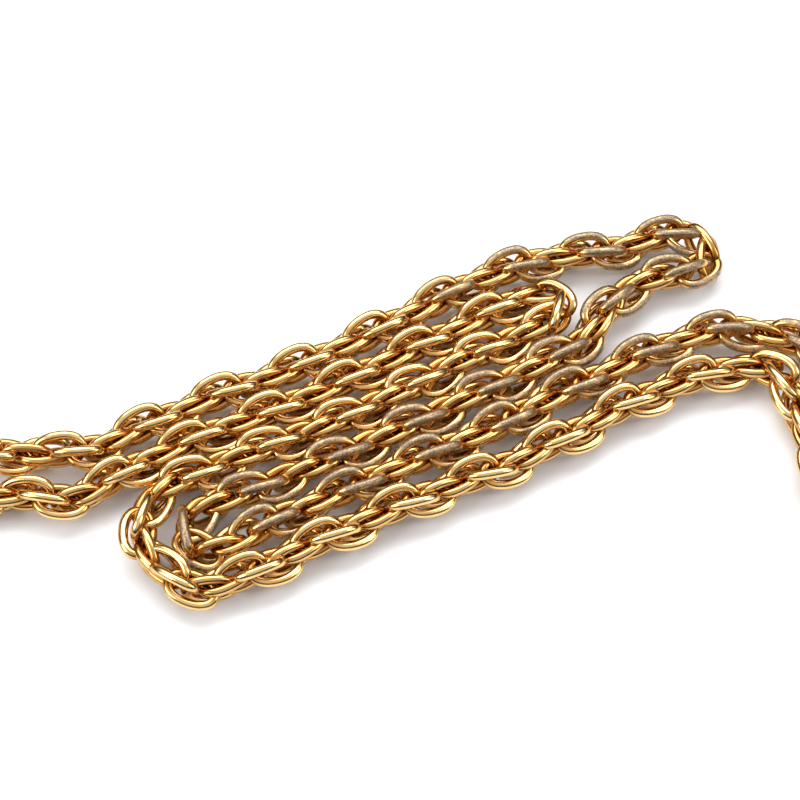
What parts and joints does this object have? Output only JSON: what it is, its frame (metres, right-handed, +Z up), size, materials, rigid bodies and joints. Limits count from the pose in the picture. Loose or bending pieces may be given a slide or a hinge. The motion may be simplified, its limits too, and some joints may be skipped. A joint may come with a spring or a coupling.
{
  "type": "eyeglasses chain strap",
  "caption": "Gold rope-chain strap for eyeglasses, laid in a flat double zigzag, with a lobster clasp and a rubber temple loop at each end.",
  "frame": {"origin": "centre of the whole laid-out strap's outline, on the surface it lies on", "axes": "+X runs along the folded chain towards the nape bend, and both clasp ends lie towards -X; +Y is across the folds; +Z is up from the surface"},
  "size_m": [0.1838, 0.139, 0.0052],
  "materials": {
    "gold": "polished gold plate, worn grainy along one half",
    "steel": "plain spring steel",
    "rubber": "dark silicone rubber, satin"
  },
  "bodies": {
    "chain": {"chain_a_1": "gold", "chain_a_2": "gold", "chain_a_3": "gold", "chain_a_4": "gold", "chain_a_5": "gold", "chain_a_6": "gold", "chain_b_1": "gold", "chain_b_2": "gold", "chain_b_3": "gold", "chain_b_4": "gold", "chain_b_5": "gold", "chain_b_6": "gold"},
    "end_ring_a": {"end_ring_a": "gold"},
    "clasp_a": {"clasp_body_a": "gold", "clasp_pin_a": "steel", "clasp_spring_a": "steel"},
    "lever_a": {"clasp_lever_a": "gold"},
    "link_ring_a": {"link_ring_a": "gold"},
    "temple_a": {"ferrule_a": "gold", "temple_loop_a": "rubber"},
    "bead_a": {"slide_bead_a": "gold"},
    "end_ring_b": {"end_ring_b": "gold"},
    "clasp_b": {"clasp_body_b": "gold", "clasp_pin_b": "steel", "clasp_spring_b": "steel"},
    "lever_b": {"clasp_lever_b": "gold"},
    "link_ring_b": {"link_ring_b": "gold"},
    "temple_b": {"ferrule_b": "gold", "temple_loop_b": "rubber"},
    "bead_b": {"slide_bead_b": "gold"}
  },
  "joints": [
    {"name": "end_ring_a_swing", "type": "hinge", "parent": "chain", "child": "end_ring_a", "pos_m": [-0.06221, 0.02547, 0.0023], "axis": [0, 0, 1], "range_deg": [-20, 20]},
    {"name": "clasp_a_swing", "type": "hinge", "parent": "end_ring_a", "child": "clasp_a", "pos_m": [-0.06448, 0.02913, 0.0023], "axis": [0, 0, 1], "range_deg": [-20, 20]},
    {"name": "lever_a_open", "type": "hinge", "parent": "clasp_a", "child": "lever_a", "pos_m": [-0.06809, 0.0323, 0.0023], "axis": [0, 0, 1], "range_deg": [-25, 0], "stiffness_Nm_per_rad": 0.001, "springref_deg": 2.86},
    {"name": "link_ring_a_swing", "type": "hinge", "parent": "clasp_a", "child": "link_ring_a", "pos_m": [-0.07023, 0.03839, 0.0023], "axis": [0, 0, 1], "range_deg": [-20, 20]},
    {"name": "temple_a_swing", "type": "hinge", "parent": "link_ring_a", "child": "temple_a", "pos_m": [-0.07165, 0.04068, 0.0023], "axis": [0, 0, 1], "range_deg": [-20, 20]},
    {"name": "bead_a_slide", "type": "slide", "parent": "temple_a", "child": "bead_a", "axis": [-0.5275, 0.8496, 0], "range_m": [0, 0.007]},
    {"name": "end_ring_b_swing", "type": "hinge", "parent": "chain", "child": "end_ring_b", "pos_m": [-0.06221, -0.0254, 0.0023], "axis": [0, 0, 1], "range_deg": [-20, 20]},
    {"name": "clasp_b_swing", "type": "hinge", "parent": "end_ring_b", "child": "clasp_b", "pos_m": [-0.06446, -0.02906, 0.0023], "axis": [0, 0, 1], "range_deg": [-20, 20]},
    {"name": "lever_b_open", "type": "hinge", "parent": "clasp_b", "child": "lever_b", "pos_m": [-0.06568, -0.03371, 0.0023], "axis": [0, 0, 1], "range_deg": [-25, 0], "stiffness_Nm_per_rad": 0.001, "springref_deg": 2.86},
    {"name": "link_ring_b_swing", "type": "hinge", "parent": "clasp_b", "child": "link_ring_b", "pos_m": [-0.07018, -0.03834, 0.0023], "axis": [0, 0, 1], "range_deg": [-20, 20]},
    {"name": "temple_b_swing", "type": "hinge", "parent": "link_ring_b", "child": "temple_b", "pos_m": [-0.07159, -0.04064, 0.0023], "axis": [0, 0, 1], "range_deg": [-20, 20]},
    {"name": "bead_b_slide", "type": "slide", "parent": "temple_b", "child": "bead_b", "axis": [-0.5245, -0.8514, 0], "range_m": [0, 0.007]}
  ]
}
